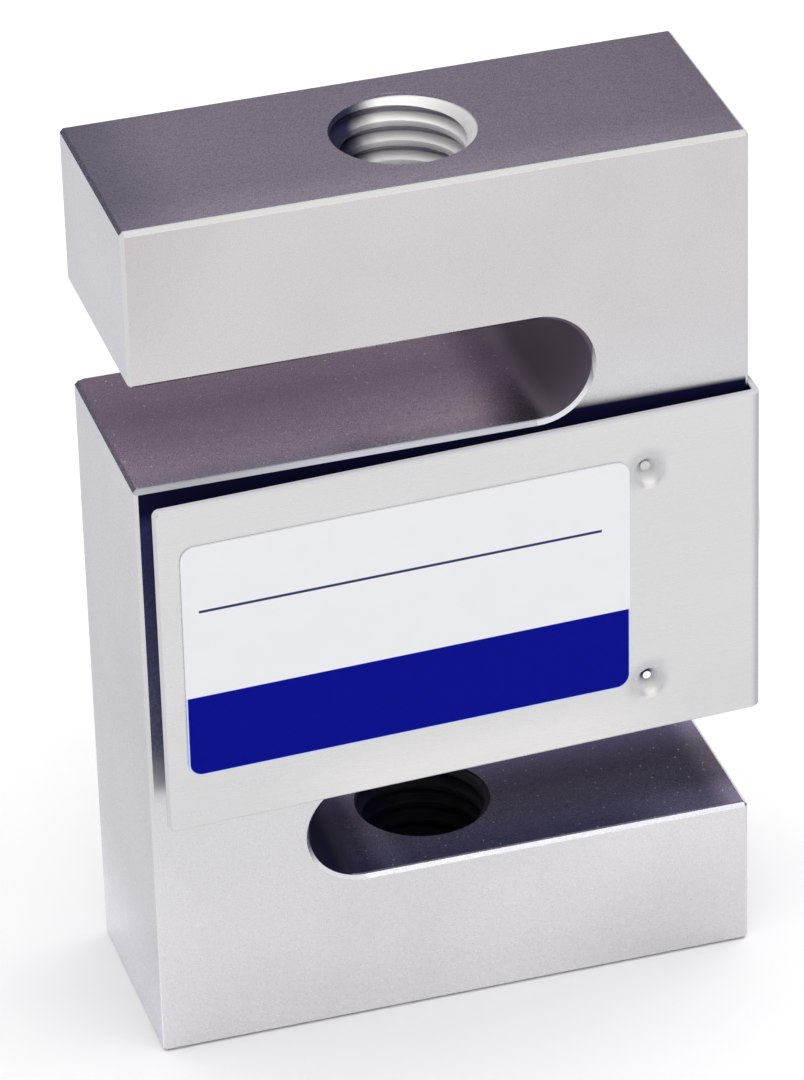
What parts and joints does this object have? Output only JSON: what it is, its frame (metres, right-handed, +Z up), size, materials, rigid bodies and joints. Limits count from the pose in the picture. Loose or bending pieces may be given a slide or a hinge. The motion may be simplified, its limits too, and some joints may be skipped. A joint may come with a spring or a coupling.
{
  "type": "s type load cell",
  "caption": "S-shaped tension and compression force sensor: a slotted steel block with a threaded hole in each arm, a folded sheet-metal cover and a cable inlet.",
  "frame": {"origin": "on the load axis at the mouth of the lower threaded hole, in the block's bottom face", "axes": "+Z up along the load axis to the upper threaded hole, +X along the block's width to the end with the cable inlet, +Y from the labelled front to the rear"},
  "size_m": [0.053, 0.0238, 0.0762],
  "materials": {
    "block_nickel": "satin nickel plate over fine-ground steel",
    "cover_stainless": "brushed sheet, fine horizontal grain",
    "pin_steel": "bright",
    "label_film": "satin film",
    "sealant": "cast silicone",
    "gauge_foil": "amber polyimide",
    "lead_wire": "enamelled wire",
    "foam_pad": "foam tape",
    "board_laminate": "solder-masked laminate",
    "solder": "bright solder",
    "resistor_enamel": "enamel",
    "gland_metal": "nickel plate",
    "seal_rubber": "matt"
  },
  "bodies": {
    "root": {"body": "block_nickel", "cover": "cover_stainless", "cover_pins": "pin_steel", "label": "label_film", "front_sealant": "sealant", "rear_sealant": "sealant", "gauge_upper_left": "gauge_foil", "gauge_upper_right": "gauge_foil", "gauge_lower_left": "gauge_foil", "gauge_lower_right": "gauge_foil", "leads_upper_left": "lead_wire", "leads_upper_right": "lead_wire", "leads_lower_left": "lead_wire", "leads_lower_right": "lead_wire", "board_pad": "foam_pad", "terminal_board": "board_laminate", "board_terminals": "solder", "zero_resistor": "resistor_enamel", "span_resistor": "resistor_enamel", "nickel_resistor": "resistor_enamel", "gland_seal": "seal_rubber", "gland_washer": "gland_metal", "gland_screw": "gland_metal"}
  },
  "joints": []
}
